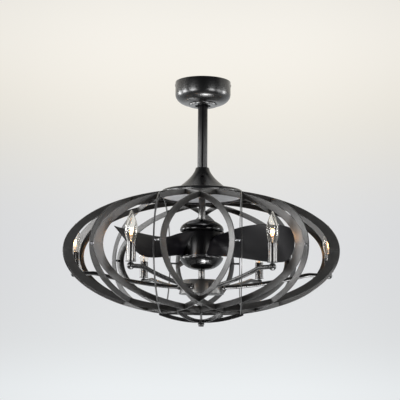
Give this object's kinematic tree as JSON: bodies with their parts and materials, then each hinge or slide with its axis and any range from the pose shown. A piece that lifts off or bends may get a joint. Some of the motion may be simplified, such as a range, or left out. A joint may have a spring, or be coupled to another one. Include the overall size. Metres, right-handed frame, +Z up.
{
  "type": "caged ceiling fan",
  "caption": "Ceiling fan on a short downrod, its twisted blades and candle lights inside an oblate cage of interlaced flat oval hoops, in black metal",
  "frame": {"origin": "centre of the ceiling bracket's top face, on the ceiling plane", "axes": "+Z up into the ceiling, -Y towards the viewer of the picture, +X to the viewer's right"},
  "size_m": [0.7344, 0.7344, 0.6719],
  "materials": {
    "ceiling_bracket": "zinc-plated steel",
    "hanger_ball": "satin black powder coat",
    "hanger_pin": "zinc-plated steel",
    "canopy": "gloss black paint",
    "canopy_screw_left": "gloss black paint",
    "canopy_screw_right": "gloss black paint",
    "downrod": "satin black powder coat",
    "motor_coupling": "zinc-plated steel",
    "coupling_pin": "zinc-plated steel",
    "coupling_cover": "satin black powder coat",
    "cage_top_plate": "satin black powder coat",
    "cage_plate_cover": "satin black powder coat",
    "motor_shaft": "satin black powder coat",
    "motor_top_cover": "gloss black paint",
    "motor_stator": "laminations with copper windings",
    "upper_bearing": "zinc-plated steel",
    "lower_bearing": "zinc-plated steel",
    "rotor_hub": "gloss black paint",
    "rotor_end_plate": "satin black powder coat",
    "blade_1": "moulded, satin black",
    "blade_2": "moulded, satin black",
    "blade_3": "moulded, satin black",
    "motor_bottom_cover": "gloss black paint",
    "light_kit_tube": "satin black powder coat",
    "light_kit_hub": "satin black powder coat",
    "light_arm_1": "satin black powder coat",
    "light_arm_2": "satin black powder coat",
    "light_arm_3": "satin black powder coat",
    "light_arm_4": "satin black powder coat",
    "light_arm_5": "satin black powder coat",
    "light_arm_6": "satin black powder coat",
    "candle_sleeve_1": "gloss black paint",
    "candle_sleeve_2": "gloss black paint",
    "candle_sleeve_3": "gloss black paint",
    "candle_sleeve_4": "gloss black paint",
    "candle_sleeve_5": "gloss black paint",
    "candle_sleeve_6": "gloss black paint",
    "bulb_1": "clear candle bulb, warm filament",
    "bulb_2": "clear candle bulb, warm filament",
    "bulb_3": "clear candle bulb, warm filament",
    "bulb_4": "clear candle bulb, warm filament",
    "bulb_5": "clear candle bulb, warm filament",
    "bulb_6": "clear candle bulb, warm filament",
    "cage_hoop_01": "satin black powder coat",
    "cage_hoop_02": "satin black powder coat",
    "cage_hoop_03": "satin black powder coat",
    "cage_hoop_04": "satin black powder coat",
    "cage_hoop_05": "satin black powder coat",
    "cage_hoop_06": "satin black powder coat",
    "cage_hoop_07": "satin black powder coat",
    "cage_hoop_08": "satin black powder coat",
    "cage_hoop_09": "satin black powder coat",
    "cage_hoop_10": "satin black powder coat",
    "cage_hoop_11": "satin black powder coat",
    "cage_hoop_12": "satin black powder coat",
    "cage_bottom_bracket": "satin black powder coat",
    "tie_rod": "satin black powder coat",
    "finial": "gloss black paint"
  },
  "bodies": {
    "ceiling_mount": {"ceiling_bracket": "ceiling_bracket", "canopy": "canopy", "canopy_screw_left": "canopy_screw_left", "canopy_screw_right": "canopy_screw_right"},
    "fixture": {"hanger_ball": "hanger_ball", "hanger_pin": "hanger_pin", "downrod": "downrod", "motor_coupling": "motor_coupling", "coupling_pin": "coupling_pin", "coupling_cover": "coupling_cover", "cage_top_plate": "cage_top_plate", "cage_plate_cover": "cage_plate_cover", "motor_shaft": "motor_shaft", "motor_top_cover": "motor_top_cover", "motor_stator": "motor_stator", "upper_bearing": "upper_bearing", "lower_bearing": "lower_bearing", "motor_bottom_cover": "motor_bottom_cover", "light_kit_tube": "light_kit_tube", "light_kit_hub": "light_kit_hub", "light_arm_1": "light_arm_1", "light_arm_2": "light_arm_2", "light_arm_3": "light_arm_3", "light_arm_4": "light_arm_4", "light_arm_5": "light_arm_5", "light_arm_6": "light_arm_6", "candle_sleeve_1": "candle_sleeve_1", "candle_sleeve_2": "candle_sleeve_2", "candle_sleeve_3": "candle_sleeve_3", "candle_sleeve_4": "candle_sleeve_4", "candle_sleeve_5": "candle_sleeve_5", "candle_sleeve_6": "candle_sleeve_6", "bulb_1": "bulb_1", "bulb_2": "bulb_2", "bulb_3": "bulb_3", "bulb_4": "bulb_4", "bulb_5": "bulb_5", "bulb_6": "bulb_6", "cage_hoop_01": "cage_hoop_01", "cage_hoop_02": "cage_hoop_02", "cage_hoop_03": "cage_hoop_03", "cage_hoop_04": "cage_hoop_04", "cage_hoop_05": "cage_hoop_05", "cage_hoop_06": "cage_hoop_06", "cage_hoop_07": "cage_hoop_07", "cage_hoop_08": "cage_hoop_08", "cage_hoop_09": "cage_hoop_09", "cage_hoop_10": "cage_hoop_10", "cage_hoop_11": "cage_hoop_11", "cage_hoop_12": "cage_hoop_12", "cage_bottom_bracket": "cage_bottom_bracket", "tie_rod": "tie_rod", "finial": "finial"},
    "rotor": {"rotor_hub": "rotor_hub", "rotor_end_plate": "rotor_end_plate", "blade_1": "blade_1", "blade_2": "blade_2", "blade_3": "blade_3"}
  },
  "joints": [
    {"name": "hanger_tilt", "type": "hinge", "parent": "ceiling_mount", "child": "fixture", "pos_m": [0, 0, -0.04], "axis": [0, 1, 0], "range_deg": [-12, 12]},
    {"name": "rotor_spin", "type": "hinge", "parent": "fixture", "child": "rotor", "pos_m": [0, 0, -0.474], "axis": [0, 0, 1], "continuous": true}
  ]
}
